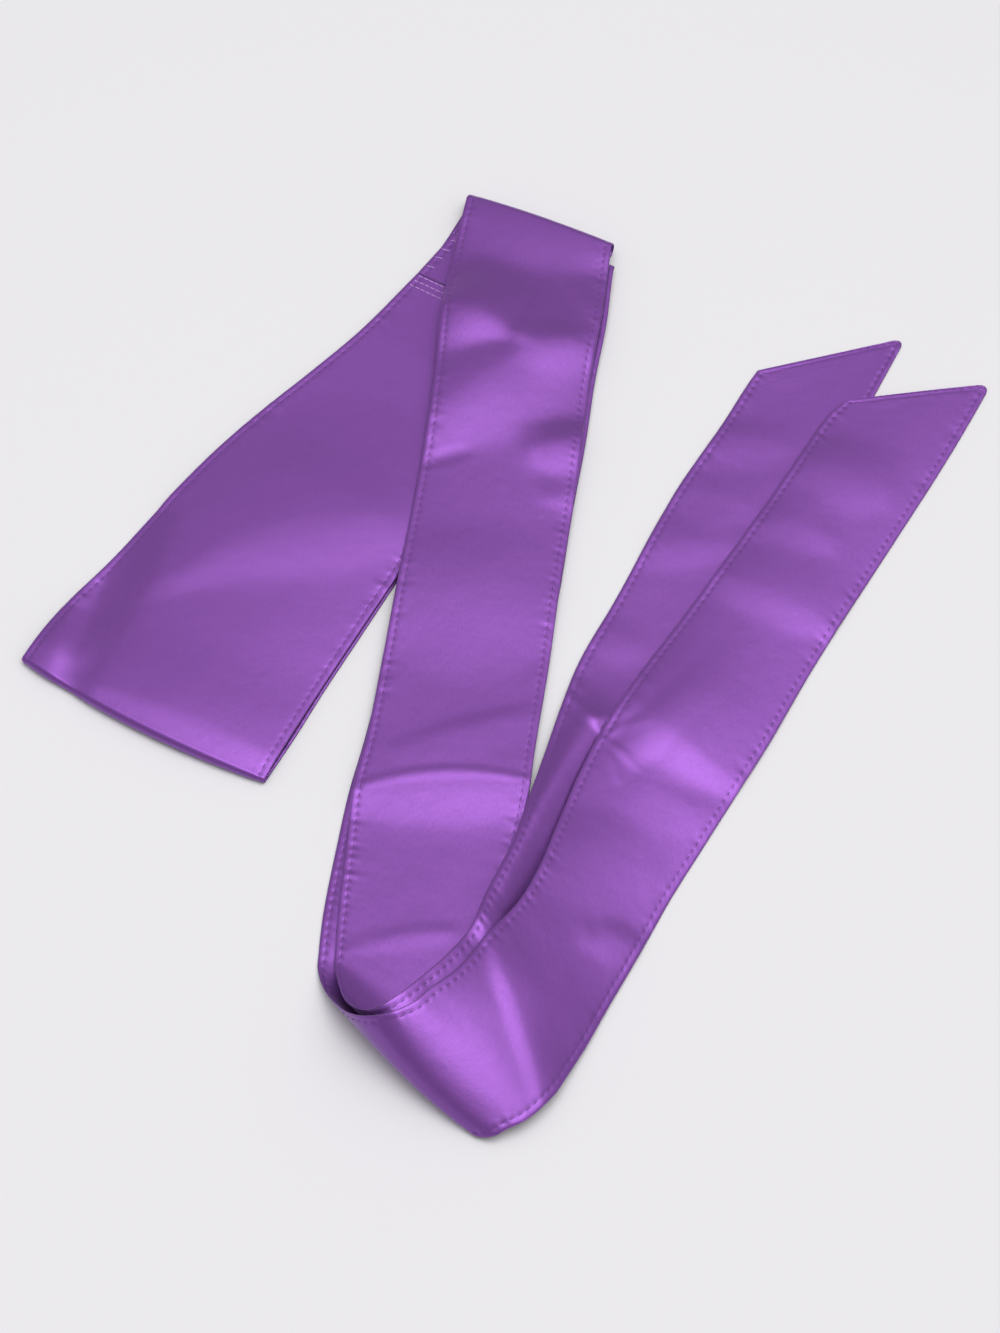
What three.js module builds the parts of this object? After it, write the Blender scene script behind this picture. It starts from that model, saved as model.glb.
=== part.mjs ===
// A satin tie sash, folded in half crosswise and laid on a table.
// A wide centre panel carries a long tapering tie at each end. Every piece is a wall of two
// sewn plies, worked out from a short table of sections that run across the strip.
// Millimetres, +Z up, the table at z = 0. Left and right are as seen from the front.
import * as THREE from 'three';

// Driving sizes
const CLOTH_THICKNESS = 1.2;
const SEAM_GAP = 0.3;
const EDGE_THINNING = 0.7;
const PANEL_DIVISIONS = 8;
const TIE_DIVISIONS = 6;
const ROW_SPACING = 14;
const BEND_STEPS = 8;

// Satin colours and finish
const SATIN = { roughness: 0.35, metalness: 0 };
const UPPER_PURPLE = 0x8b57a8;
const LOWER_PURPLE = 0x7a4799;

// Names of the table columns. Lift is the height above a layer that lies on the table, so that
// lying layers have lifts 1.8 mm apart. Crown is how far the middle of a section stands up, and
// bow is how far it runs ahead, towards the back of the table.
const COLUMNS = ['leftX', 'leftY', 'leftLift', 'rightX', 'rightY', 'rightLift', 'crown', 'bow'];

// Upper half of the centre panel, from its seam with the tie down to the fold
const PANEL_UPPER = [
  [-37, 209, 1.8, 23, 173, 1.8, 0, 0],
  [-62, 176, 1.8, 5, 136, 1.8, 0, 0],
  [-83, 153, 1.8, -9, 109, 1.8, 0, 0],
  [-104, 131, 1.8, -23, 83, 1.8, 0, 0],
  [-123, 109, 1.8, -36, 57, 1.8, 0.8, 0],
  [-147, 77, 1.8, -55, 22, 1.8, 2.0, 0],
  [-169, 46, 2.0, -73, -12, 2.0, 2.6, -1],
  [-184, 25, 2.4, -84, -34, 2.4, 2.4, -2.5],
  [-196.5, 3, 2.8, -94.5, -55.5, 2.8, 2.2, -3.6],
];

// Lower half, from the fold back to its own seam
const PANEL_LOWER = [
  [-196.5, 3, 0, -94.5, -55.5, 0, 0, -3.6],
  [-184, 25, 0, -83, -34, 0, 0, -2.5],
  [-169, 46, 0, -72, -12, 0, 0, -1],
  [-147, 77, 0, -54, 22, 0, 0, 0],
  [-104, 131, 0, -22, 83, 0, 0, 0],
  [-62, 176, 0, 5, 136, 0, 0, 0],
  [-37, 209, 0, 23, 173, 0, 0, 0],
];

// Tie A is sewn to the lower half of the panel. It lies outside at the top fold and on top
// in the descending stretch, and inside at the roll and behind in the outgoing stretch.
const TIE_A_ROOT = [
  [-37, 209, 0, 23, 173, 0, 0, 0],
  [-27, 225, 0, 35, 191, 0, 0, 0],
  [-15, 249.5, 0, 50, 220.5, 0, 0, 0],
];
const TIE_A_DESCENDING = [
  [-15, 249.5, 5.4, 50, 220.5, 5.4, 0, 0],
  [-20, 223, 5.4, 48, 204, 5.2, 0.2, 0],
  [-25, 190, 5.4, 45, 180, 4.6, 0.8, 0],
  [-28, 155, 5.4, 39.5, 147, 3.6, 1.2, 0],
  [-31, 122, 5.4, 35.5, 114, 3.4, 1.2, 0],
  [-36, 85, 5.4, 31, 78, 3.0, 1.0, 0],
  [-42, 45, 5.0, 25, 37, 2.4, 0.6, 0],
  [-48, 4, 3.2, 20, -2, 1.8, 0.3, 0],
  [-54, -36, 2.0, 14, -43, 1.8, 0, 0],
  [-59, -60, 1.8, 11, -67, 1.8, 0, 0],
  [-61, -86, 1.8, 5, -97, 1.8, 0, 0],
  [-63, -111, 1.8, 0, -131, 1.8, 0, 0],
  [-64, -132, 2.0, -6, -166, 1.8, 0, 0],
];
const TIE_A_ROLL = [
  [-64, -132, 2.0, -6, -166, 1.8, 0, 0],
  [-64, -141, 3.0, -9, -186, 1.8, 0, 0],
  [-62, -151, 7, -11, -200, 1.8, 0, 0],
  [-59, -160, 12, -10, -205, 2.0, 0, 0],
  [-54, -166, 17, -8.5, -207.5, 2.6, 0, 0],
  [-49.5, -168.5, 21, -6, -208, 3.4, 0, 0],
  [-44.5, -168, 24, -3, -206.5, 4.2, 0, 0],
  [-38, -164, 25, 1, -203, 4.6, 0, 0],
  [-28, -154, 23, 9, -194, 4.2, 0, 0],
  [-19.5, -144, 20.5, 17, -183, 3.2, 1, 0],
  [-11, -131, 17, 26, -166, 1.4, 2, 0],
];
const TIE_A_OUTGOING = [
  [-11, -131, 17, 26, -166, 1.4, 2, 0],
  [-5, -114, 13, 36, -145, 0, 2, 0],
  [5, -90, 9, 50, -117, 0, 2, 0],
  [10, -73, 7, 58, -98, 0, 2, 0],
  [17.5, -47, 4, 69, -70, 0, 1.5, 0],
  [26, -18, 1.6, 79, -41, 0, 0.8, 0],
  [33, 2, 0.4, 86, -22, 0, 0, 0],
  [48, 32, 0, 98.5, 7, 0, 0, 0],
  [76, 90, 0, 125, 63, 0, 0, 0],
  [95, 122, 0, 142, 96, 0, 0, 0],
  [107, 144, 0, 156, 125, 0, 0, 0],
  [113.5, 155, 0, 178, 172, 0, 0, 0],
];

// Tie B is sewn to the upper half of the panel and takes the other side of tie A everywhere
const TIE_B_ROOT = [
  [-37, 209, 1.8, 23, 173, 1.8, 0, 0],
  [-27, 224, 1.8, 35, 189, 1.8, 0, 0],
  [-15, 241, 1.8, 51, 211, 1.8, 0, 0],
];
const TIE_B_DESCENDING = [
  [-15, 241, 3.6, 51, 211, 3.6, 0, 0],
  [-19, 218, 3.6, 49.5, 199, 3.4, 0.2, 0],
  [-23, 188, 3.6, 47, 178, 2.8, 0.8, 0],
  [-26, 155, 3.6, 41.5, 147, 1.8, 1.2, 0],
  [-30, 122, 3.6, 37, 114, 1.6, 1.2, 0],
  [-35, 85, 3.6, 31, 78, 1.2, 1.0, 0],
  [-40.5, 45, 3.2, 25, 37, 0.6, 0.6, 0],
  [-47, 4, 1.4, 18, -2, 0, 0.3, 0],
  [-55, -36, 0.2, 12, -44, 0, 0, 0],
  [-60.5, -60, 0, 8, -70, 0, 0, 0],
  [-65, -87, 0, 3, -99, 0, 0, 0],
  [-69, -114, 0, -3, -135, 0, 0, 0],
  [-70.5, -133, 0, -9, -168, 0, 0, 0],
];
const TIE_B_ROLL = [
  [-70.5, -133, 0, -9, -168, 0, 0, 0],
  [-70.5, -142, 1, -12.5, -189, 0, 0, 0],
  [-68, -151, 4.5, -14, -203, 0, 0, 0],
  [-63.5, -160, 10.5, -12.5, -207.5, 0.2, 0, -1.5],
  [-58.5, -167, 16.5, -9.5, -211, 1.0, 0, -2.5],
  [-53, -171.5, 22, -6, -212.5, 2.4, 0, -2.5],
  [-47, -173.5, 26, -2, -212.5, 4.0, 0, -2],
  [-40.5, -173, 28, 2.5, -210.5, 5.4, 0, -1],
  [-32, -169, 28.5, 9, -207.5, 6.0, 0, 0],
  [-26, -162.5, 27.5, 15, -202.5, 5.6, 1, 0],
  [-19, -156, 25.5, 21, -195.5, 4.4, 2, 0],
  [-12.5, -148, 23, 26.5, -186, 3.2, 3, 0],
  [-6, -137, 20, 33, -174.5, 2.0, 4, 0],
];
const TIE_B_OUTGOING = [
  [-6, -137, 20, 33, -174.5, 2.0, 4, 0],
  [6, -121, 16, 42, -157, 1.0, 5, 0],
  [15, -103, 12, 54, -135, 0.4, 5, 0],
  [23, -80, 8.5, 67, -110, 0, 4.5, 0],
  [32, -55, 6, 81, -86, 0, 4, 0],
  [41, -35, 4.6, 92.5, -66.5, 0, 3.5, 0],
  [56, -9, 3.6, 108, -40.5, 0, 3, 0],
  [80, 28, 2.8, 130, 0, 0, 2.4, 0],
  [120, 91, 2.2, 167.5, 63, 0, 1.6, 0],
  [141, 126, 2.1, 189, 99, 0, 1.2, 0],
  [148, 134, 2.1, 202, 122, 0, 0.8, 0],
  [152, 137, 2.1, 214, 142.5, 0, 0.4, 0],
];

// Smooth curve through a column of values, even where the rows are unevenly spaced
function smoothValue(values, gaps, row, part) {
  const last = values.length - 1;
  const before = row > 0 ? values[row - 1] : 2 * values[0] - values[1];
  const after = row + 2 <= last ? values[row + 2] : 2 * values[last] - values[last - 1];
  const [start, end] = [values[row], values[row + 1]];
  const gap = gaps[row];
  const gapBefore = row > 0 ? gaps[row - 1] : gap;
  const gapAfter = row + 1 < last ? gaps[row + 1] : gap;
  const slopeIn = (start - before) / gapBefore - (end - before) / (gapBefore + gap) + (end - start) / gap;
  const slopeOut = (end - start) / gap - (after - start) / (gap + gapAfter) + (after - end) / gapAfter;
  const rise = end - start;
  const cubic = (slopeIn + slopeOut) * gap - 2 * rise;
  const square = 3 * rise - (2 * slopeIn + slopeOut) * gap;
  return start + part * (slopeIn * gap + part * (square + part * cubic));
}

function namedRow(values) {
  return Object.fromEntries(COLUMNS.map((name, index) => [name, values[index]]));
}

// Distance between two table rows, measured where the strip is longest
function rowGap(rowA, rowB) {
  const left = Math.hypot(
    rowB.leftX - rowA.leftX, rowB.leftY - rowA.leftY, rowB.leftLift - rowA.leftLift);
  const right = Math.hypot(
    rowB.rightX - rowA.rightX, rowB.rightY - rowA.rightY, rowB.rightLift - rowA.rightLift);
  return Math.max(left, right);
}

// One section across the strip as a row of points on its middle surface
function sectionPoints(row, divisions) {
  const level = CLOTH_THICKNESS / 2;
  const left = new THREE.Vector3(row.leftX, row.leftY, level + Math.max(0, row.leftLift));
  const right = new THREE.Vector3(row.rightX, row.rightY, level + Math.max(0, row.rightLift));
  const across = right.clone().sub(left).setZ(0).normalize();
  const ahead = new THREE.Vector3(-across.y, across.x, 0);
  const points = [];
  for (let step = 0; step <= divisions; step++) {
    const part = step / divisions;
    const swell = 4 * part * (1 - part);
    const point = left.clone().lerp(right, part);
    point.addScaledVector(ahead, row.bow * swell);
    point.z += Math.max(0, row.crown) * swell;
    points.push(point);
  }
  return points;
}

// Middle surface of a stretch: rows of points, spaced along it as its table asks
function stretchRows(table, divisions, spacing = ROW_SPACING) {
  const rows = table.map(namedRow);
  const distances = rows.slice(1).map((row, index) => rowGap(rows[index], row));
  const gaps = distances.map(Math.sqrt);
  const surface = [];
  rows.slice(1).forEach((_, index) => {
    const steps = Math.max(1, Math.round(distances[index] / spacing));
    for (let step = 0; step < steps; step++) {
      const mixed = {};
      for (const name of COLUMNS) {
        mixed[name] = smoothValue(rows.map((row) => row[name]), gaps, index, step / steps);
      }
      surface.push(sectionPoints(mixed, divisions));
    }
  });
  surface.push(sectionPoints(rows[rows.length - 1], divisions));
  return surface;
}

// Half-round bend from one row of points to another above or below it.
// It bulges towards the back of the table where ahead is 1, and towards the front where it is -1.
function bendRows(fromRow, toRow, ahead) {
  const across = fromRow[fromRow.length - 1].clone().sub(fromRow[0]).setZ(0).normalize();
  const outward = new THREE.Vector3(-across.y, across.x, 0).multiplyScalar(ahead);
  const surface = [];
  for (let step = 1; step < BEND_STEPS; step++) {
    const angle = Math.PI * step / BEND_STEPS;
    surface.push(fromRow.map((from, index) => {
      const to = toRow[index];
      const radius = from.distanceTo(to) / 2;
      const point = from.clone().lerp(to, (1 - Math.cos(angle)) / 2);
      return point.addScaledVector(outward, radius * Math.sin(angle));
    }));
  }
  return surface;
}

// Draws an end of a stretch back by half a seam gap, so that neighbours do not touch
function trimEnd(endRow, nextRow) {
  endRow.forEach((point, index) => {
    const inward = nextRow[index].clone().sub(point).normalize();
    point.addScaledVector(inward, SEAM_GAP / 2);
  });
}

function surfaceNormal(rows, row, column) {
  const along = rows[Math.min(row + 1, rows.length - 1)][column].clone()
    .sub(rows[Math.max(row - 1, 0)][column]);
  const lastColumn = rows[row].length - 1;
  const across = rows[row][Math.min(column + 1, lastColumn)].clone()
    .sub(rows[row][Math.max(column - 1, 0)]);
  return along.cross(across).normalize();
}

// Closed wall around a middle surface, a little thinner along its pressed edges
function clothWall(rows) {
  const columns = rows[0].length;
  const corners = [];
  for (const side of [1, -1]) {
    rows.forEach((points, row) => points.forEach((point, column) => {
      const onEdge = column === 0 || column === columns - 1;
      const reach = side * CLOTH_THICKNESS / 2 * (onEdge ? EDGE_THINNING : 1);
      const corner = point.clone().addScaledVector(surfaceNormal(rows, row, column), reach);
      corners.push(corner.x, corner.y, corner.z);
    }));
  }
  const front = (row, column) => row * columns + column;
  const back = (row, column) => rows.length * columns + row * columns + column;
  const faces = [];
  const quad = (a, b, c, d) => faces.push(a, b, c, a, c, d);
  const [lastRow, lastColumn] = [rows.length - 1, columns - 1];
  for (let row = 0; row < lastRow; row++) {
    for (let column = 0; column < lastColumn; column++) {
      quad(front(row, column), front(row + 1, column), front(row + 1, column + 1), front(row, column + 1));
      quad(back(row, column), back(row, column + 1), back(row + 1, column + 1), back(row + 1, column));
    }
    quad(front(row, 0), back(row, 0), back(row + 1, 0), front(row + 1, 0));
    quad(front(row, lastColumn), front(row + 1, lastColumn), back(row + 1, lastColumn), back(row, lastColumn));
  }
  for (let column = 0; column < lastColumn; column++) {
    quad(front(0, column), front(0, column + 1), back(0, column + 1), back(0, column));
    quad(front(lastRow, column), back(lastRow, column), back(lastRow, column + 1), front(lastRow, column + 1));
  }
  const geometry = new THREE.BufferGeometry();
  geometry.setAttribute('position', new THREE.Float32BufferAttribute(corners, 3));
  geometry.setIndex(faces);
  geometry.computeVertexNormals();
  return geometry;
}

function clothPiece(name, rows, colour) {
  trimEnd(rows[0], rows[1]);
  trimEnd(rows[rows.length - 1], rows[rows.length - 2]);
  const mesh = new THREE.Mesh(clothWall(rows), new THREE.MeshStandardMaterial({ color: colour, ...SATIN }));
  mesh.name = name;
  return mesh;
}

// The centre panel: its upper half, and its lower half with the fold that joins them
function centrePanel() {
  const upper = stretchRows(PANEL_UPPER, PANEL_DIVISIONS);
  const lower = stretchRows(PANEL_LOWER, PANEL_DIVISIONS);
  const fold = bendRows(upper[upper.length - 1], lower[0], -1);
  const foldedLower = [upper[upper.length - 1].map((point) => point.clone()), ...fold, ...lower];
  return [
    clothPiece('panel_upper', upper, UPPER_PURPLE),
    clothPiece('panel_lower', foldedLower, LOWER_PURPLE),
  ];
}

// One tie: its root with the top fold, then its descending, rolled and outgoing stretches
function tie(name, tables, colour) {
  const root = stretchRows(tables.root, TIE_DIVISIONS);
  const descending = stretchRows(tables.descending, TIE_DIVISIONS);
  const roll = stretchRows(tables.roll, TIE_DIVISIONS);
  const outgoing = stretchRows(tables.outgoing, TIE_DIVISIONS);
  const fold = bendRows(root[root.length - 1], descending[0], 1);
  const foldedRoot = [...root, ...fold, descending[0].map((point) => point.clone())];
  return [
    clothPiece(`${name}_root`, foldedRoot, colour),
    clothPiece(`${name}_descending`, descending, colour),
    clothPiece(`${name}_roll`, roll, colour),
    clothPiece(`${name}_outgoing`, outgoing, colour),
  ];
}

// Stands the sash on the middle of its own footprint
function centreOnFootprint(group) {
  const box = new THREE.Box3().setFromObject(group, true);
  const middle = box.getCenter(new THREE.Vector3());
  group.position.set(-middle.x, -middle.y, -box.min.z);
}

const sash = new THREE.Group();
sash.add(...centrePanel());
sash.add(...tie('tie_a', {
  root: TIE_A_ROOT,
  descending: TIE_A_DESCENDING,
  roll: TIE_A_ROLL,
  outgoing: TIE_A_OUTGOING,
}, UPPER_PURPLE));
sash.add(...tie('tie_b', {
  root: TIE_B_ROOT,
  descending: TIE_B_DESCENDING,
  roll: TIE_B_ROLL,
  outgoing: TIE_B_OUTGOING,
}, LOWER_PURPLE));
centreOnFootprint(sash);

export default sash;
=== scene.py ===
import math

import bpy
import numpy as np
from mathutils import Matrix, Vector


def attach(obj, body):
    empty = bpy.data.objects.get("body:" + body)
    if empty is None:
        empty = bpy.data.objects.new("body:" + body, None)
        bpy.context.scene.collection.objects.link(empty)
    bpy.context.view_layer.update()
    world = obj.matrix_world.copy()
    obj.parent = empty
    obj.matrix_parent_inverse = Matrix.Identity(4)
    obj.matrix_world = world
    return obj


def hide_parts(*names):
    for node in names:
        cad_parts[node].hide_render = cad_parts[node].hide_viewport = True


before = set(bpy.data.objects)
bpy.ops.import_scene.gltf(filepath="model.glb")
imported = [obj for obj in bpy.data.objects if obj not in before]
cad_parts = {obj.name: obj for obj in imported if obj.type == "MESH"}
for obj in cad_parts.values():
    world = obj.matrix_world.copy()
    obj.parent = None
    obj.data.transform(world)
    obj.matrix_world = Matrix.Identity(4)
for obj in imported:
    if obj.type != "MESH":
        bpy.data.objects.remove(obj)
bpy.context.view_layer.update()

MM = 0.001
TINY = 1e-9

# Where the tables' origin lies in the frame, in millimetres
TABLE_ORIGIN = np.array([-8.247, -19.756, 0.0])

# Sizes of the cloth, in millimetres. The two widths only set how many points lie across a strip.
# LEVEL is how high the middle of the lowest strip lies.
PANEL_WIDTH = 118
TIE_WIDTH = 66
LEVEL = 0.6
CORNER_RADIUS = 6.5
EDGE_HALF = 0.36
EDGE_THINNING = 0.22
EDGE_REACH = 0.45

# Topstitching along the edges, in millimetres. STITCH_START is a part of the pitch.
STITCH_INSET = 2.9
STITCH_PITCH = 3.8
STITCH_LENGTH = 2.0
STITCH_START = 0.4
THREAD_RADIUS = 0.16
DIMPLE_LEAST = 0.03
DIMPLE_MORE = 0.19
DIMPLE_LENGTH = 1.0
DIMPLE_WIDTH = 0.8

# Rows of stitches at the panel's ends and slanted stitches at a tie's root, in millimetres
SEAM_ROW_OFFSETS = [0.9, 3.8, 7.0]
SEAM_PITCH = 2.8
SEAM_STITCH = 2.5
SEAM_THREAD_RADIUS = 0.2
TICK_OFFSETS = [5, 12, 18, 24, 29]

# Puckers that the sewing draws in: height and wavelength of each wave in millimetres, how the
# waves swell and fade over a long stretch, and how far they reach from the stitches
PUCKER_WAVES = [(0.06, 5.5), (0.08, 14.0)]
PUCKER_SPAN = 70.0
PUCKER_MIDDLE = 0.6
PUCKER_LIMITS = (0.2, 1.8)
PUCKER_REACH = 3.4
PUCKER_SINK = 0.12

# Waves that are added up to an irregular one: how much longer each is, and their range of sizes
WAVE_STRETCHES = (0.7, 1.0, 1.37, 1.9)
WAVE_SIZES = (0.5, 1.0)

# Seeds of the puckers, and how far the right edge's seed is from the left edge's
PANEL_SEED = 11
TIE_A_SEED = 48
TIE_B_SEED = 155
RIGHT_EDGE_SEED = 7

# Ends and rounding of the creases: the first in millimetres, the others parts of a width
CREASE_END = 2.0
CREASE_END_SHARE = 0.2
FOOT_SOFT = 0.3
FRONT_BELLY = 0.25

# Spacing of the points in millimetres: along a strip, round a bend with its fewest steps, and
# across the middle. MARGIN is how far the points beside each edge lie from it.
ROW_STEP = 1.05
BEND_STEP = 0.3
BEND_LEAST_STEPS = 8
MIDDLE_STEP = 2.4
MARGIN = [0.0, 0.2, 0.5, 0.9, 1.4, 1.9, 2.4, STITCH_INSET, 3.4, 4.0, 4.8, 5.8, 7.0, 8.4]
STITCH_COLUMN = MARGIN.index(STITCH_INSET)
TICK_COLUMN = STITCH_COLUMN + 3

# Six-sided section of a thread, and its stations: part of the length, part of the radius, and
# height in millimetres
THREAD_SECTION = [(math.cos(k * math.pi / 3), math.sin(k * math.pi / 3)) for k in range(6)]
THREAD_STATIONS = [(0.0, 0.45, -0.12), (0.16, 1.0, 0.0), (0.84, 1.0, 0.0), (1.0, 0.45, -0.12)]

# Columns of the section tables: left x, y and lift, right x, y and lift, crown, bow. Lift is the
# height over LEVEL, crown the extra height at the middle, and bow the reach ahead there.
LEFT = slice(0, 3)
RIGHT = slice(3, 6)
CROWN = 6
BOW = 7
PANEL_UPPER = [
    [-37, 209, 1.8, 23, 173, 1.8, 0, 0],
    [-62, 176, 1.8, 5, 136, 1.8, 0, 0],
    [-83, 153, 1.8, -9, 109, 1.8, 0, 0],
    [-104, 131, 1.8, -23, 83, 1.8, 0, 0],
    [-123, 109, 1.8, -36, 57, 1.8, 0.8, 0],
    [-147, 77, 1.8, -55, 22, 1.8, 2.0, 0],
    [-169, 46, 2.0, -73, -12, 2.0, 2.6, -1],
    [-184, 25, 2.4, -84, -34, 2.4, 2.4, -2.5],
    [-196.5, 3, 2.8, -94.5, -55.5, 2.8, 2.2, -3.6],
]
PANEL_LOWER = [
    [-196.5, 3, 0, -94.5, -55.5, 0, 0, -3.6],
    [-184, 25, 0, -83, -34, 0, 0, -2.5],
    [-169, 46, 0, -72, -12, 0, 0, -1],
    [-147, 77, 0, -54, 22, 0, 0, 0],
    [-104, 131, 0, -22, 83, 0, 0, 0],
    [-62, 176, 0, 5, 136, 0, 0, 0],
    [-37, 209, 0, 23, 173, 0, 0, 0],
]
TIE_A_ROOT = [
    [-37, 209, 0, 23, 173, 0, 0, 0],
    [-27, 225, 0, 35, 191, 0, 0, 0],
    [-15, 249.5, 0, 50, 220.5, 0, 0, 0],
]
TIE_A_RUN = [
    [-15, 249.5, 5.4, 50, 220.5, 5.4, 0, 0],
    [-20, 223, 5.4, 48, 204, 5.2, 0.2, 0],
    [-25, 190, 5.4, 45, 180, 4.6, 0.8, 0],
    [-28, 155, 5.4, 39.5, 147, 3.6, 1.2, 0],
    [-31, 122, 5.4, 35.5, 114, 3.4, 1.2, 0],
    [-36, 85, 5.4, 31, 78, 3.0, 1.0, 0],
    [-42, 45, 5.0, 25, 37, 2.4, 0.6, 0],
    [-48, 4, 3.2, 20, -2, 1.8, 0.3, 0],
    [-54, -36, 2.0, 14, -43, 1.8, 0, 0],
    [-59, -60, 1.8, 11, -67, 1.8, 0, 0],
    [-61, -86, 1.8, 5, -97, 1.8, 0, 0],
    [-63, -111, 1.8, 0, -131, 1.8, 0, 0],
    [-64, -132, 2.0, -6, -166, 1.8, 0, 0],
    [-64, -141, 3.0, -9, -186, 1.8, 0, 0],
    [-62, -151, 7, -11, -200, 1.8, 0, 0],
    [-59, -160, 12, -10, -205, 2.0, 0, 0],
    [-54, -166, 17, -8.5, -207.5, 2.6, 0, 0],
    [-49.5, -168.5, 21, -6, -208, 3.4, 0, 0],
    [-44.5, -168, 24, -3, -206.5, 4.2, 0, 0],
    [-38, -164, 25, 1, -203, 4.6, 0, 0],
    [-28, -154, 23, 9, -194, 4.2, 0, 0],
    [-19.5, -144, 20.5, 17, -183, 3.2, 1, 0],
    [-11, -131, 17, 26, -166, 1.4, 2, 0],
    [-5, -114, 13, 36, -145, 0, 2, 0],
    [5, -90, 9, 50, -117, 0, 2, 0],
    [10, -73, 7, 58, -98, 0, 2, 0],
    [17.5, -47, 4, 69, -70, 0, 1.5, 0],
    [26, -18, 1.6, 79, -41, 0, 0.8, 0],
    [33, 2, 0.4, 86, -22, 0, 0, 0],
    [48, 32, 0, 98.5, 7, 0, 0, 0],
    [76, 90, 0, 125, 63, 0, 0, 0],
    [95, 122, 0, 142, 96, 0, 0, 0],
    [107, 144, 0, 156, 125, 0, 0, 0],
    [113.5, 155, 0, 180, 173.3, 0, 0, 0],
]
TIE_B_ROOT = [
    [-37, 209, 1.8, 23, 173, 1.8, 0, 0],
    [-27, 224, 1.2, 35, 189, 1.8, 0, 0],
    [-15, 241, 1.0, 51, 211, 1.8, 0, 0],
]
TIE_B_RUN = [
    [-15, 241, 3.6, 51, 211, 3.6, 0, 0],
    [-19, 218, 3.6, 49.5, 199, 3.4, 0.2, 0],
    [-23, 188, 3.6, 47, 178, 2.8, 0.8, 0],
    [-26, 155, 3.6, 41.5, 147, 1.8, 1.2, 0],
    [-30, 122, 3.6, 37, 114, 1.6, 1.2, 0],
    [-35, 85, 3.6, 31, 78, 1.2, 1.0, 0],
    [-40.5, 45, 3.2, 25, 37, 0.6, 0.6, 0],
    [-47, 4, 1.4, 18, -2, 0, 0.3, 0],
    [-55, -36, 0.2, 12, -44, 0, 0, 0],
    [-60.5, -60, 0, 8, -70, 0, 0, 0],
    [-65, -87, 0, 3, -99, 0, 0, 0],
    [-69, -114, 0, -3, -135, 0, 0, 0],
    [-70.5, -133, 0, -9, -168, 0, 0, 0],
    [-70.5, -142, 1, -12.5, -189, 0, 0, 0],
    [-68, -151, 4.5, -14, -203, 0, 0, 0],
    [-63.5, -160, 10.5, -12.5, -207.5, 0.2, 0, -1.5],
    [-58.5, -167, 16.5, -9.5, -211, 1.0, 0, -2.5],
    [-53, -171.5, 22, -6, -212.5, 2.4, 0, -2.5],
    [-47, -173.5, 26, -2, -212.5, 4.0, 0, -2],
    [-40.5, -173, 28, 2.5, -210.5, 5.4, 0, -1],
    [-32, -169, 28.5, 9, -207.5, 6.0, 0, 0],
    [-26, -162.5, 27.5, 15, -202.5, 5.6, 1, 0],
    [-19, -156, 25.5, 21, -195.5, 4.4, 2, 0],
    [-12.5, -148, 23, 26.5, -186, 3.2, 3, 0],
    [-6, -137, 20, 33, -174.5, 2.0, 4, 0],
    [6, -121, 16, 42, -157, 1.0, 3, 0],
    [15, -103, 12, 54, -135, 0.4, 2, 0],
    [23, -80, 8.5, 67, -110, 0, 1.6, 0],
    [32, -55, 6, 81, -86, 0, 1.6, 0],
    [41, -35, 4.6, 92.5, -66.5, 0, 1.6, 0],
    [56, -9, 3.6, 108, -40.5, 0, 1.6, 0],
    [80, 28, 2.8, 130, 0, 0, 1.6, 0],
    [120, 91, 2.2, 167.5, 63, 0, 1.6, 0],
    [141, 126, 2.1, 189, 99, 0, 1.2, 0],
    [148, 134, 2.1, 202, 122, 0, 0.8, 0],
    [152, 137, 2.1, 215.7, 147.5, 0, 0.4, 0],
]

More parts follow.
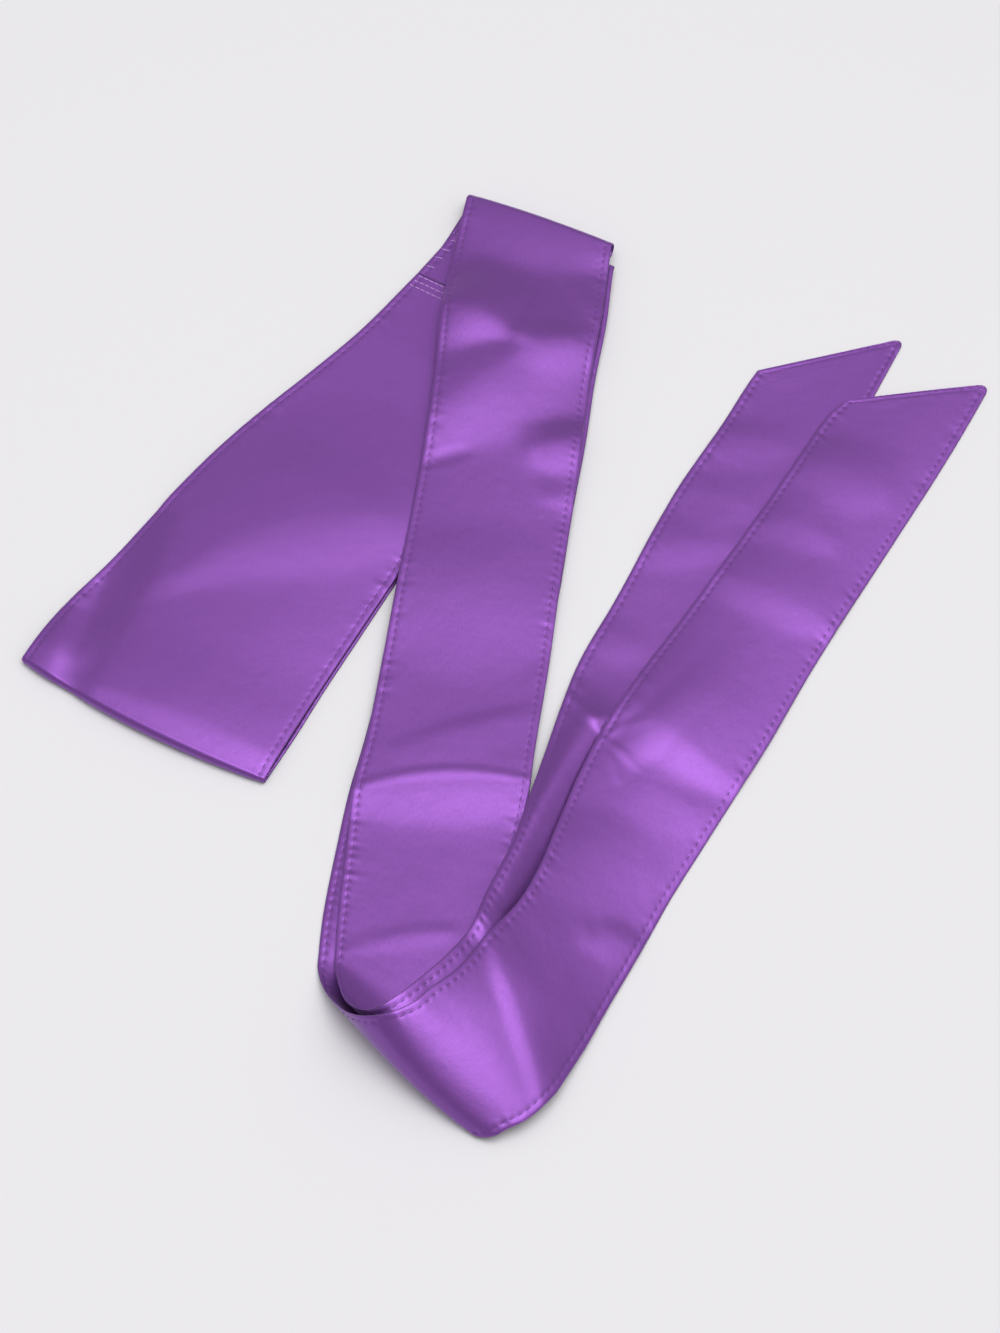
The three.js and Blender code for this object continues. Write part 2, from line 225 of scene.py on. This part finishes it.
# Creases, one row each: a crest from (x1, y1) to (x2, y2) on the table plane, curved by
# bow away from the viewer. The cloth falls from it at slope, over front_1 to front_2 on the
# viewer's side, and over back on the far side. A negative slope makes a trough, and soft rounds
# the crest. Columns: x1, y1, x2, y2, bow, slope, front_1, front_2, back, soft
PANEL_CREASES = [
    [-171, -10, -95, -42, 2.3, 0.09, 7, 15, 34, 0.6],
    [-176, -14, -149, 77, 5.6, -0.12, 12, 17, 8, 0.4],
    [-199, 13, -177, 4, 0.5, 0.1, 9, 18, 22, 0.3],
    [-134, 46, -42, 76, 11.0, 0.075, 17, 34, 60, 0.5],
]
TIE_A_CREASES = {
    "descending": [
        [-15, 249, 49, 221, 0.1, 0.09, 26, 22, 6, 0.6],
        [-28, 184, 5, 169, 4.8, 0.21, 29, 9, 30, 0.3],
        [-31, 126, 42, 173, 5.4, 0.14, 32, 27, 45, 0.3],
        [12, 163, 42, 160, 2.0, 0.07, 17, 13, 12, 0.4],
        [-32, 100, -16, 105, 0.2, -0.08, 4, 4, 5, 0.5],
        [16, 108, 42, 112, 0.8, 0.12, 16, 20, 13, 0.35],
        [22, 83, 40, 85, 0.5, 0.08, 8, 9, 10, 0.5],
        [-46, 29, 17, 31, 3.1, 0.035, 34, 34, 34, 0.8],
        [-40, -43, 11, -26, 1.2, 0.025, 11, 12, 6, 0.4],
        [-57, -60, 11, -57, 5.2, 0.1, 18, 22, 60, 0.25],
        [-57, -60, 11, -57, 5.2, 0.08, 3, 3, 3, 0.3],
        [-59, -134, -19, -126, 2.2, 0.045, 4, 7, 5, 0.3],
        [-62, -148, -12, -146, 1.0, 0.022, 40, 40, 58, 0.8],
    ],
    "roll": [
        [-58, -152, -48, -154, 0, 0.15, 2, 2, 2, 0.4],
    ],
    "outgoing": [
        [29, -18, 39, -31, 0.6, 0.3, 2, 2, 13, 0.3],
        [35, -24, 46, -38, 0, 0.09, 2, 3, 13, 0.5],
        [-8, -133, 39, -30, 2.0, 0.28, 10, 9, 11, 0.3],
        [7, -122, 43, -33, 1.5, -0.36, 6, 6, 9, 0.5],
        [60, 60, 94, 62, 1.6, 0.055, 14, 12, 20, 0.4],
        [76, 88, 104, 83, 1.0, 0.04, 13, 16, 16, 0.4],
        [88, 112, 120, 115, 2.6, 0.035, 18, 13, 12, 0.4],
        [38, 12, 56, 9, 1.5, 0.035, 10, 11, 12, 0.5],
    ],
}
TIE_B_CREASES = {
    "descending": [
        [-63.5, -133, -53.5, -60, 0, 0.1, 8, 8, 8, 0.4],
    ],
    "roll": [
        [-4, -137, 17, -200, 1.5, 0.14, 6, 6, 14, 0.3],
    ],
    "outgoing": [
        [92, 44, 138, 22, 1.9, 0.065, 13, 15, 26, 0.35],
        [58, -24, 97, -58, 1.1, 0.09, 26, 11, 60, 0.25],
        [60, -24, 74, -37, 0, 0.03, 26, 22, 40, 0.3],
        [60, -61, 88, -77, 0.6, 0.03, 22, 7, 10, 0.3],
        [43, -38, 57, -31, 1.0, 0.06, 3, 3, 2.5, 0.4],
        [42, -40, 54, -52, 1.5, 0.09, 3, 2, 2.2, 0.4],
        [41, -42, 47, -58, 1.1, 0.12, 2, 2, 2.2, 0.4],
        [121, 96, 162, 91, 4.1, 0.05, 19, 20, 20, 0.6],
        [109, 69, 138, 64, 5.3, 0.055, 13, 14, 16, 0.6],
        [36, -132, 53, -134, 2.5, 0.08, 9, 10, 9, 0.5],
        [8, -100, 55, -98, 6.4, 0.03, 21, 21, 20, 0.8],
    ],
}

# Rows of a tie's table between which the creases of each stretch lie
STRETCH_ROWS = {
    "tie_a": {"descending": (-1, 14), "roll": (14, 22), "outgoing": (22, 34)},
    "tie_b": {"descending": (-1, 12), "roll": (12, 25), "outgoing": (24, 36)},
}

# Satin's gloss, by the shader's own names
SATIN_GLOSS = {
    "Metallic": 0.7,
    "Roughness": 0.32,
    "Anisotropic": 0.35,
    "Anisotropic Rotation": 0.25,
    "Sheen Weight": 0.18,
    "Sheen Roughness": 0.45,
    "Sheen Tint": (0.8, 0.62, 0.95, 1),
}

# Satin's floats, fine across the strip and long along it, as noise steps to the metre, its soft
# unevenness, and how far the floats tint it. The distances are in metres.
FLOAT_SCALE = (260, 3200, 1)
FLOAT_NOISE = {"Scale": 1.0, "Detail": 2.0, "Roughness": 0.6}
FLOAT_BUMP = {"Strength": 0.7, "Distance": 0.00008}
FLOAT_TINT = {"From_Min": 0.25, "From_Max": 0.6, "To_Min": 0.45, "To_Max": 1.0}
SLACK_NOISE = {"Scale": 34.0, "Detail": 6.0, "Roughness": 0.55}
SLACK_BUMP = {"Strength": 0.3, "Distance": 0.0012}

# Colours and light
PURPLE = (0.214, 0.071, 0.35)
PURPLE_DEEP = (0.17, 0.052, 0.288)
# Edge thread, darker than its own colour, which is near the cloth's: painted shade of the dimples that its
# stitches sink into
EDGE_THREAD_PAINTED_SHADE = (0.12, 0.036, 0.21)
SEAM_THREAD = (0.52, 0.30, 0.66)
TABLE_WHITE = (0.68, 0.678, 0.69)
THREAD_ROUGHNESS = 0.5
TABLE_ROUGHNESS = 0.8
TABLE_SPECULAR = 0.2
TABLE_SIZE = 20.0
ROOM_WHITE = (1.0, 0.985, 1.0, 1)
ROOM_LOW = 0.45
ROOM_HIGH = 3.4
ROOM_FALL = 8.0
ROOM_LEAN = 0.22
LAMP_SIZE = (1.2, 1.1)
LAMP_PLACE = (0, -0.08, 1.6)
LAMP_POWER = 6

# Camera: what it looks at and how far off it is in metres, its angle in degrees, and its lens and
# sensor in millimetres
CAMERA_TARGET = Vector(TABLE_ORIGIN) * MM
CAMERA_DISTANCE = 1280.99 * MM
CAMERA_ELEVATION = 57.0
CAMERA_LENS = 111.6
CAMERA_SENSOR = 36


# Smooth curves through the tables

def smooth_rows(table, spacing):
    """Rows of table values on a smooth curve through the table, and their places in the table."""
    table = np.array(table, dtype=float)
    left = np.linalg.norm(np.diff(table[:, LEFT], axis=0), axis=1)
    right = np.linalg.norm(np.diff(table[:, RIGHT], axis=0), axis=1)
    distance = np.maximum(left, right)
    gaps = np.sqrt(distance)
    padded = np.vstack([2 * table[0] - table[1], table, 2 * table[-1] - table[-2]])
    padded_gaps = np.concatenate([gaps[:1], gaps, gaps[-1:]])
    rows, places = [], []
    for index in range(len(table) - 1):
        before, start, end, after = padded[index:index + 4]
        gap_before, gap, gap_after = padded_gaps[index:index + 3]
        slope_in = (start - before) / gap_before - (end - before) / (gap_before + gap) + (end - start) / gap
        slope_out = (end - start) / gap - (after - start) / (gap + gap_after) + (after - end) / gap_after
        cubic = (slope_in + slope_out) * gap - 2 * (end - start)
        square = 3 * (end - start) - (2 * slope_in + slope_out) * gap
        steps = max(1, round(distance[index] / spacing))
        part = (np.arange(steps) / steps)[:, None]
        rows.append(start + part * (slope_in * gap + part * (square + part * cubic)))
        places.append(index + part[:, 0])
    rows.append(table[-1:])
    places.append([len(table) - 1])
    return np.vstack(rows), np.concatenate(places)


def across_parts(width, middle_columns):
    """Where the points of a section lie across the strip, close together along both edges."""
    margin = np.array(MARGIN)
    left = margin[None, :] / width[:, None]
    inner = np.linspace(0, 1, middle_columns + 2)[None, 1:-1]
    start = margin[-1] / width[:, None]
    middle = start + (1 - 2 * start) * inner
    return np.hstack([left, middle, 1 - left[:, ::-1]])


def stretch_points(table, middle_columns):
    """Middle surface of a stretch, one row of points for each section."""
    rows, places = smooth_rows(table, ROW_STEP)
    left, right = rows[:, LEFT].copy(), rows[:, RIGHT].copy()
    left[:, 2] = LEVEL + np.maximum(0, left[:, 2])
    right[:, 2] = LEVEL + np.maximum(0, right[:, 2])
    part = across_parts(np.linalg.norm(right - left, axis=1), middle_columns)[:, :, None]
    flat_across = (right - left) * [1, 1, 0]
    flat_across /= np.linalg.norm(flat_across, axis=1)[:, None]
    ahead = np.stack([-flat_across[:, 1], flat_across[:, 0], np.zeros(len(rows))], axis=1)
    swell = 4 * part * (1 - part)
    points = left[:, None, :] * (1 - part) + right[:, None, :] * part
    points += ahead[:, None, :] * rows[:, BOW][:, None, None] * swell
    points[:, :, 2] += np.maximum(0, rows[:, CROWN])[:, None] * swell[:, :, 0]
    return points, places


def bend_points(from_row, to_row, ahead_sign):
    """Half-round bend between two rows of points, one above the other."""
    across = from_row[-1] - from_row[0]
    outward = ahead_sign * np.array([-across[1], across[0], 0]) / np.hypot(across[0], across[1])
    radius = np.linalg.norm(to_row - from_row, axis=1)[:, None] / 2
    steps = max(BEND_LEAST_STEPS, round(math.pi * radius.max() / BEND_STEP))
    rows = []
    for step in range(1, steps):
        angle = math.pi * step / steps
        blend = (1 - math.cos(angle)) / 2
        rows.append(from_row * (1 - blend) + to_row * blend + outward * radius * math.sin(angle))
    return np.array(rows)


# Fields over the middle surface of a strip

def unit(vectors):
    """The vectors at a length of one."""
    return vectors / np.maximum(np.linalg.norm(vectors, axis=-1, keepdims=True), TINY)


def surface_normals(points):
    """Normals of the middle surface, all on one side of it."""
    along = np.gradient(points, axis=0)
    across = np.gradient(points, axis=1)
    return unit(np.cross(along, across))


def travelled(points, axis):
    """Distance along the rows or the columns of a grid of points."""
    steps = np.linalg.norm(np.diff(points, axis=axis), axis=2)
    start = np.zeros_like(np.take(steps, [0], axis=axis))
    return np.cumsum(np.concatenate([start, steps], axis=axis), axis=axis)


def edge_inset(points, sewn_end):
    """Distance from the nearest sewn edge, the end of the strip included where it is one."""
    across = travelled(points, 1)
    inset = np.minimum(across, across[:, -1:] - across)
    if sewn_end:
        along = travelled(points, 0)
        inset = np.minimum(inset, along[-1:] - along)
    return inset


def facet(part, soft):
    """Height of a crease at a distance from its crest, both in parts of the whole."""
    fall = (np.hypot(part, soft) - soft) / (math.hypot(1, soft) - soft)
    return (1 - fall + np.hypot(1 - fall, FOOT_SOFT)) / (1 + math.hypot(1, FOOT_SOFT))


def crease_lift(points, creases):
    """Height that the creases give to each point."""
    lift = np.zeros(points.shape[:2])
    for x1, y1, x2, y2, bow, slope, front_1, front_2, back, soft in creases:
        length = math.hypot(x2 - x1, y2 - y1)
        along_x, along_y = (x2 - x1) / length, (y2 - y1) / length
        from_x, from_y = points[:, :, 0] - x1, points[:, :, 1] - y1
        along = (from_x * along_x + from_y * along_y) / length
        inside = np.clip(along, 0, 1)
        swell = 4 * inside * (1 - inside)
        away = from_y * along_x - from_x * along_y - bow * swell
        front = (front_1 + (front_2 - front_1) * inside) * (1 + FRONT_BELLY * (2 * swell - 1))
        part = np.abs(away) / np.where(away > 0, back, front)
        beyond = np.maximum(-along, along - 1).clip(0) * length
        fade = CREASE_END + CREASE_END_SHARE * (front + back)
        lift += slope * front * facet(part, soft) * np.exp(-np.square(beyond / fade))
    return lift


def stretch_share(places, first, last):
    """How much of a stretch's creases each row takes, with soft ends."""
    share = np.clip(places - first + 0.5, 0, 1) * np.clip(last + 0.5 - places, 0, 1)
    return share * share * (3 - 2 * share)


def rounded_corner(points):
    """The strip with the right corner of its sewn end rounded off."""
    along, across = travelled(points, 0), travelled(points, 1)
    sideways = (CORNER_RADIUS - (across[:, -1:] - across)).clip(0)
    endways = (CORNER_RADIUS - (along[-1:] - along)).clip(0)
    reach = np.hypot(sideways, endways)
    pull = 1 - np.maximum(sideways, endways) / np.maximum(reach, TINY)
    pull[reach == 0] = 0
    inward = -unit(np.gradient(points, axis=1)) * (sideways * pull)[:, :, None]
    backward = -unit(np.gradient(points, axis=0)) * (endways * pull)[:, :, None]
    return points + inward + backward


def soft_wave(distance, wavelength, seed):
    """Irregular wave of about unit size along a distance."""
    rng = np.random.default_rng(seed)
    wave = np.zeros_like(distance)
    for stretch in WAVE_STRETCHES:
        phase, size = rng.uniform(0, 2 * math.pi), rng.uniform(*WAVE_SIZES)
        wave += size * np.sin(2 * math.pi * distance / (wavelength * stretch) + phase)
    return wave / 2


def seam_pucker(distance, inset, seed):
    """Small waves that the topstitching draws into the cloth along an edge."""
    gather = np.zeros_like(distance)
    for step, (height, wavelength) in enumerate(PUCKER_WAVES):
        gather += height * soft_wave(distance, wavelength, seed + step)
    swell = PUCKER_MIDDLE + soft_wave(distance, PUCKER_SPAN, seed + len(PUCKER_WAVES))
    gather = gather * swell.clip(*PUCKER_LIMITS)
    return gather * np.exp(-np.square((inset - STITCH_INSET) / PUCKER_REACH))


def half_thickness(distance, inset):
    """Half the height of the two plies: a thin turned edge, drawn in at each stitch."""
    edge = EDGE_HALF - EDGE_THINNING * np.exp(-np.square(inset / EDGE_REACH))
    from_stitch = (distance / STITCH_PITCH - STITCH_START) % 1 - STITCH_LENGTH / STITCH_PITCH / 2
    dimple = DIMPLE_LEAST + DIMPLE_MORE * np.exp(-np.square(from_stitch * STITCH_PITCH / DIMPLE_LENGTH))
    return edge - dimple * np.exp(-np.square((inset - STITCH_INSET) / DIMPLE_WIDTH))


# Meshes

def new_piece(name, points, faces):
    """Mesh object from points in table millimetres."""
    vertices = (points + TABLE_ORIGIN) * MM
    mesh = bpy.data.meshes.new(name)
    mesh.from_pydata(vertices.tolist(), [], faces.tolist())
    mesh.polygons.foreach_set("use_smooth", [True] * len(mesh.polygons))
    mesh.update()
    piece = bpy.data.objects.new(name, mesh)
    bpy.context.scene.collection.objects.link(piece)
    return piece


def grid_faces(rows, columns, offset, flipped):
    """Quads over a grid of points whose first index is offset."""
    row, column = np.meshgrid(np.arange(rows - 1), np.arange(columns - 1), indexing="ij")
    corner = (offset + row * columns + column).ravel()
    quads = np.stack([corner, corner + columns, corner + columns + 1, corner + 1], axis=1)
    return quads[:, ::-1] if flipped else quads


def ring_points(grid):
    """Indices round the edge of a grid of points."""
    return np.concatenate([grid[:-1, 0], grid[-1, :-1], grid[:0:-1, -1], grid[0, :0:-1]])


def ring_neighbours(grid):
    """For each point round the edge of a grid, the point just inside it."""
    return np.concatenate([grid[:-1, 1], grid[-2, :-1], grid[:0:-1, -2], grid[1, :0:-1]])


def rim_faces(front, middle, back):
    """Two bands of quads round the open edge between the front and the back of a shell."""
    bands = []
    for near, far in ((front, middle), (middle, back)):
        bands.append(np.stack([near, np.roll(near, -1), np.roll(far, -1), far], axis=1))
    return np.vstack(bands)


def shell(name, points, normals, half):
    """Closed shell round a middle surface, with rounded edges and a map for its material."""
    rows, columns = points.shape[:2]
    count = rows * columns
    grid = np.arange(count).reshape(rows, columns)
    ring, inner = ring_points(grid), ring_neighbours(grid)
    flat = points.reshape(-1, 3)
    outward = unit(flat[ring] - flat[inner])
    rim = flat[ring] + outward * half.ravel()[ring][:, None]
    reach = normals * half[:, :, None]
    vertices = np.vstack([(points + reach).reshape(-1, 3), (points - reach).reshape(-1, 3), rim])
    faces = np.vstack([
        grid_faces(rows, columns, 0, False),
        grid_faces(rows, columns, count, True),
        rim_faces(ring, 2 * count + np.arange(len(ring)), ring + count),
    ])
    piece = new_piece(name, vertices, faces)
    distance, across = travelled(points, 0), travelled(points, 1)
    middle = distance[:, columns // 2][:, None] + np.zeros_like(distance)
    centred = across - across[:, -1:] / 2
    add_map(piece, "cloth", middle, centred, ring)
    return piece


def add_map(piece, name, first, second, ring):
    """UV map in metres from two fields over the middle surface."""
    values = np.stack([first.ravel(), second.ravel()], axis=1)
    everywhere = np.vstack([values, values, values[ring]]) * MM
    corners = np.empty(len(piece.data.loops), dtype=np.int64)
    piece.data.loops.foreach_get("vertex_index", corners)
    layer = piece.data.uv_layers.new(name=name)
    layer.data.foreach_set("uv", everywhere[corners].astype(np.float32).ravel())


# Sewing thread

def values_at(values, distance, where):
    """Points or normals at places along a line."""
    return np.stack([np.interp(where, distance, values[:, k]) for k in range(3)], axis=1)


def stitch_line(line, normals, half, pitch, length):
    """Start, end and normal of each stitch along a line of surface points, on both faces."""
    steps = np.linalg.norm(np.diff(line, axis=0), axis=1)
    distance = np.concatenate([[0], np.cumsum(steps)])
    starts = np.arange(pitch * STITCH_START, distance[-1] - length, pitch)
    stitches = []
    for side in (1, -1):
        surface = line + normals * half[:, None] * side
        first = values_at(surface, distance, starts)
        last = values_at(surface, distance, starts + length)
        stitches.append((first, last, values_at(normals * side, distance, starts)))
    return stitches


def thread_mesh(name, stitches, radius):
    """One mesh of short threads, each a thin bead along the cloth with its ends sunk in."""
    starts, ends, normals = [np.vstack(parts) for parts in zip(*stitches)]
    ahead = unit(ends - starts)
    side = unit(np.cross(ahead, normals))
    up = np.cross(side, ahead)
    sides = len(THREAD_SECTION)
    rings = []
    for part, width, height in THREAD_STATIONS:
        centre = starts + (ends - starts) * part + up * height
        for sideways, upward in THREAD_SECTION:
            rings.append(centre + (side * sideways + up * upward) * radius * width)
    faces = []
    for station in range(len(THREAD_STATIONS) - 1):
        for k in range(sides):
            a, b = station * sides + k, station * sides + (k + 1) % sides
            faces.append([a, b, b + sides, a + sides])
    # Two quads close each end
    last = (len(THREAD_STATIONS) - 1) * sides
    faces += [[3, 2, 1, 0], [5, 4, 3, 0]]
    faces += [[last, last + 1, last + 2, last + 3], [last, last + 3, last + 4, last + 5]]
    offsets = (np.arange(len(starts)) * len(rings))[:, None, None]
    points = np.stack(rings, axis=1).reshape(-1, 3)
    return new_piece(name, points, (np.array(faces)[None] + offsets).reshape(-1, 4))


def edge_stitches(points, normals, half, sewn_end):
    """Topstitching along both edges of a strip, and across its end where that is sewn."""
    last = len(points) - 1
    if sewn_end:
        to_end = travelled(points, 0)[-1:] - travelled(points, 0)
        last = int(np.argmax(to_end.max(axis=1) < STITCH_INSET))
    stop = slice(0, last + 1)
    stitches = []
    for side in (STITCH_COLUMN, points.shape[1] - 1 - STITCH_COLUMN):
        line = (points[stop, side], normals[stop, side], half[stop, side])
        stitches += stitch_line(*line, STITCH_PITCH, STITCH_LENGTH)
    if sewn_end:
        span = slice(STITCH_COLUMN, points.shape[1] - STITCH_COLUMN)
        line = (points[last, span], normals[last, span], half[last, span])
        stitches += stitch_line(*line, STITCH_PITCH, STITCH_LENGTH)
    return stitches


def seam_rows(points, normals, half):
    """Parallel rows of stitches across both ends of the centre panel."""
    distance = travelled(points, 0)[:, points.shape[1] // 2]
    stitches = []
    for offset in SEAM_ROW_OFFSETS:
        for place in (offset, distance[-1] - offset):
            row = int(np.searchsorted(distance, place))
            line = (points[row], normals[row], half[row])
            stitches += stitch_line(*line, SEAM_PITCH, SEAM_STITCH)
    return stitches


def edge_ticks(points, normals, half):
    """Short slanted stitches over the left edge near the root of a tie."""
    distance = travelled(points, 0)[:, 0]
    stitches = []
    for offset in TICK_OFFSETS:
        row = int(np.searchsorted(distance, offset))
        for side in (1, -1):
            surface = points + normals * half[:, :, None] * side
            start, end = surface[row, 1][None], surface[row + 1, TICK_COLUMN][None]
            stitches.append((start, end, normals[row, 1][None] * side))
    return stitches


# Materials

def link(tree, source, target):
    """Joins an output to an input."""
    tree.links.new(source, target)


def node(tree, kind, **values):
    """New shader node with its settings, or the values of its inputs, by name."""
    made = tree.nodes.new(kind)
    for name, value in values.items():
        if hasattr(made, name):
            setattr(made, name, value)
        else:
            made.inputs[name.replace("_", " ")].default_value = value
    return made


def new_material(name):
    """New material with its node tree and its shader."""
    material = bpy.data.materials.new(name)
    material.use_nodes = True
    return material, material.node_tree, material.node_tree.nodes["Principled BSDF"]


def satin_material():
    """Glossy woven satin: long floats that catch the light, a fine weave and soft unevenness."""
    material, tree, shader = new_material("purple satin")
    cloth = node(tree, "ShaderNodeUVMap", uv_map="cloth")
    stretched = node(tree, "ShaderNodeMapping")
    stretched.inputs["Scale"].default_value = FLOAT_SCALE
    link(tree, cloth.outputs["UV"], stretched.inputs["Vector"])
    floats = node(tree, "ShaderNodeTexNoise", **FLOAT_NOISE)
    link(tree, stretched.outputs["Vector"], floats.inputs["Vector"])
    broad = node(tree, "ShaderNodeTexNoise", **SLACK_NOISE)
    link(tree, cloth.outputs["UV"], broad.inputs["Vector"])
    tint = node(tree, "ShaderNodeMix", data_type="RGBA")
    tint.inputs["A"].default_value = (*PURPLE_DEEP, 1)
    tint.inputs["B"].default_value = (*PURPLE, 1)
    spread = node(tree, "ShaderNodeMapRange", **FLOAT_TINT)
    link(tree, floats.outputs["Fac"], spread.inputs["Value"])
    link(tree, spread.outputs["Result"], tint.inputs["Factor"])
    link(tree, tint.outputs["Result"], shader.inputs["Base Color"])
    tangent = node(tree, "ShaderNodeTangent", direction_type="UV_MAP", uv_map="cloth")
    link(tree, tangent.outputs["Tangent"], shader.inputs["Tangent"])
    weave = node(tree, "ShaderNodeBump", **FLOAT_BUMP)
    link(tree, floats.outputs["Fac"], weave.inputs["Height"])
    slack = node(tree, "ShaderNodeBump", **SLACK_BUMP)
    link(tree, broad.outputs["Fac"], slack.inputs["Height"])
    link(tree, weave.outputs["Normal"], slack.inputs["Normal"])
    link(tree, slack.outputs["Normal"], shader.inputs["Normal"])
    for name, value in SATIN_GLOSS.items():
        shader.inputs[name].default_value = value
    return material


def thread_material(name, colour):
    """Plain sewing thread."""
    material, _, shader = new_material(name)
    shader.inputs["Base Color"].default_value = (*colour, 1)
    shader.inputs["Roughness"].default_value = THREAD_ROUGHNESS
    return material


def table_material():
    """Plain pale table, nearly matt."""
    material, _, shader = new_material("pale table")
    shader.inputs["Base Color"].default_value = (*TABLE_WHITE, 1)
    shader.inputs["Roughness"].default_value = TABLE_ROUGHNESS
    shader.inputs["Specular IOR Level"].default_value = TABLE_SPECULAR
    return material


# The sash

def middle_count(width):
    """Points across a strip between the close ones along its edges."""
    return round((width - 2 * MARGIN[-1]) / MIDDLE_STEP)


def dress(piece, material):
    """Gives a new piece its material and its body."""
    piece.data.materials.append(material)
    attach(piece, "root")


def sew_strip(name, points, seed, sewn_end, nodes, satin, thread):
    """One strip of the sash as a shell, with its topstitching."""
    inset = edge_inset(points, sewn_end)
    distance = travelled(points, 0)
    on_left = np.arange(points.shape[1]) < points.shape[1] // 2
    left_pucker = seam_pucker(distance, inset, seed)
    right_pucker = seam_pucker(distance, inset, seed + RIGHT_EDGE_SEED)
    pucker = np.where(on_left, left_pucker, right_pucker)
    if sewn_end:
        points = rounded_corner(points)
    points = points + surface_normals(points) * pucker.clip(-PUCKER_SINK)[:, :, None]
    half = half_thickness(distance, inset)
    normals = surface_normals(points)
    piece = shell(name, points, normals, half)
    dress(piece, satin)
    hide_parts(*nodes)
    stitches = edge_stitches(points, normals, half, sewn_end)
    dress(thread_mesh(name + "_stitches", stitches, THREAD_RADIUS), thread)
    return piece, points, normals, half


def centre_panel(satin, thread, seam_thread):
    """The wide panel, folded in half crosswise, with the seam rows at its two ends."""
    columns = middle_count(PANEL_WIDTH)
    upper, _ = stretch_points(PANEL_UPPER, columns)
    lower, _ = stretch_points(PANEL_LOWER, columns)
    upper[:, :, 2] += crease_lift(upper, PANEL_CREASES)
    fold = bend_points(upper[-1], lower[0], -1)
    points = np.vstack([upper, fold, lower])
    nodes = ["panel_upper", "panel_lower"]
    piece, *surface = sew_strip("centre_panel", points, PANEL_SEED, False, nodes, satin, thread)
    dress(thread_mesh("seam_rows", seam_rows(*surface), SEAM_THREAD_RADIUS), seam_thread)
    return piece


def tie(name, root_table, run_table, creases, seed, satin, thread, seam_thread):
    """A tie from its root at the panel, over the top fold and round the roll to its cut tip."""
    columns = middle_count(TIE_WIDTH)
    root, _ = stretch_points(root_table, columns)
    run, places = stretch_points(run_table, columns)
    for stretch, rows in creases.items():
        share = stretch_share(places, *STRETCH_ROWS[name][stretch])
        run[:, :, 2] += crease_lift(run, rows) * share[:, None]
    run[:, :, 2] = np.maximum(run[:, :, 2], LEVEL)
    fold = bend_points(root[-1], run[0], 1)
    points = np.vstack([root, fold, run])
    nodes = [name + stretch for stretch in ("_root", "_descending", "_roll", "_outgoing")]
    piece, *surface = sew_strip(name, points, seed, True, nodes, satin, thread)
    dress(thread_mesh(name + "_ticks", edge_ticks(*surface), SEAM_THREAD_RADIUS), seam_thread)
    return piece


# Table, light and camera

def add_table(material):
    """The surface that the sash lies on."""
    bpy.ops.mesh.primitive_plane_add(size=TABLE_SIZE, location=(0, 0, 0))
    table = bpy.context.object
    table.name = "table"
    table.data.materials.append(material)


def add_lamp():
    """One wide lamp overhead, which shines straight down."""
    data = bpy.data.lights.new("overhead", "AREA")
    data.shape = "RECTANGLE"
    data.size, data.size_y = LAMP_SIZE
    data.energy = LAMP_POWER
    lamp = bpy.data.objects.new("overhead", data)
    lamp.location = LAMP_PLACE
    bpy.context.scene.collection.objects.link(lamp)


def add_world():
    """A pale room, lighter overhead and a little to the right than near the horizon."""
    world = bpy.data.worlds.new("soft room")
    world.use_nodes = True
    tree = world.node_tree
    direction = node(tree, "ShaderNodeTexCoord")
    towards_light = node(tree, "ShaderNodeVectorMath", operation="DOT_PRODUCT")
    towards_light.inputs[1].default_value = Vector((ROOM_LEAN, 0, 1)).normalized()
    link(tree, direction.outputs["Generated"], towards_light.inputs[0])
    above = node(tree, "ShaderNodeMath", operation="MAXIMUM")
    above.inputs[1].default_value = 0
    link(tree, towards_light.outputs["Value"], above.inputs[0])
    power = node(tree, "ShaderNodeMath", operation="POWER")
    power.inputs[1].default_value = ROOM_FALL
    link(tree, above.outputs["Value"], power.inputs[0])
    rise = node(tree, "ShaderNodeMapRange", To_Min=ROOM_LOW, To_Max=ROOM_HIGH)
    link(tree, power.outputs["Value"], rise.inputs["Value"])
    background = tree.nodes["Background"]
    background.inputs["Color"].default_value = ROOM_WHITE
    link(tree, rise.outputs["Result"], background.inputs["Strength"])
    bpy.context.scene.world = world


def add_camera():
    """Camera at the photo's angle, in front of the sash and above it."""
    data = bpy.data.cameras.new("camera")
    data.sensor_fit = "HORIZONTAL"
    data.sensor_width = CAMERA_SENSOR
    data.lens = CAMERA_LENS
    data.dof.use_dof = False
    camera = bpy.data.objects.new("camera", data)
    angle = math.radians(CAMERA_ELEVATION)
    away = Vector((0, -math.cos(angle), math.sin(angle)))
    camera.location = CAMERA_TARGET + away * CAMERA_DISTANCE
    camera.rotation_euler = (-away).to_track_quat("-Z", "Y").to_euler()
    bpy.context.scene.collection.objects.link(camera)
    bpy.context.scene.camera = camera


def build():
    """The whole scene."""
    satin = satin_material()
    # The edge thread's dark colour is painted shade of the stitch dimples
    thread = thread_material("edge thread with painted shade", EDGE_THREAD_PAINTED_SHADE)
    seam_thread = thread_material("seam thread", SEAM_THREAD)
    threads = (thread, seam_thread)
    panel = centre_panel(satin, *threads)
    tie_a = tie("tie_a", TIE_A_ROOT, TIE_A_RUN, TIE_A_CREASES, TIE_A_SEED, satin, *threads)
    tie_b = tie("tie_b", TIE_B_ROOT, TIE_B_RUN, TIE_B_CREASES, TIE_B_SEED, satin, *threads)
    add_table(table_material())
    add_lamp()
    add_world()
    add_camera()
    bpy.context.scene.view_settings.view_transform = "Standard"


build()
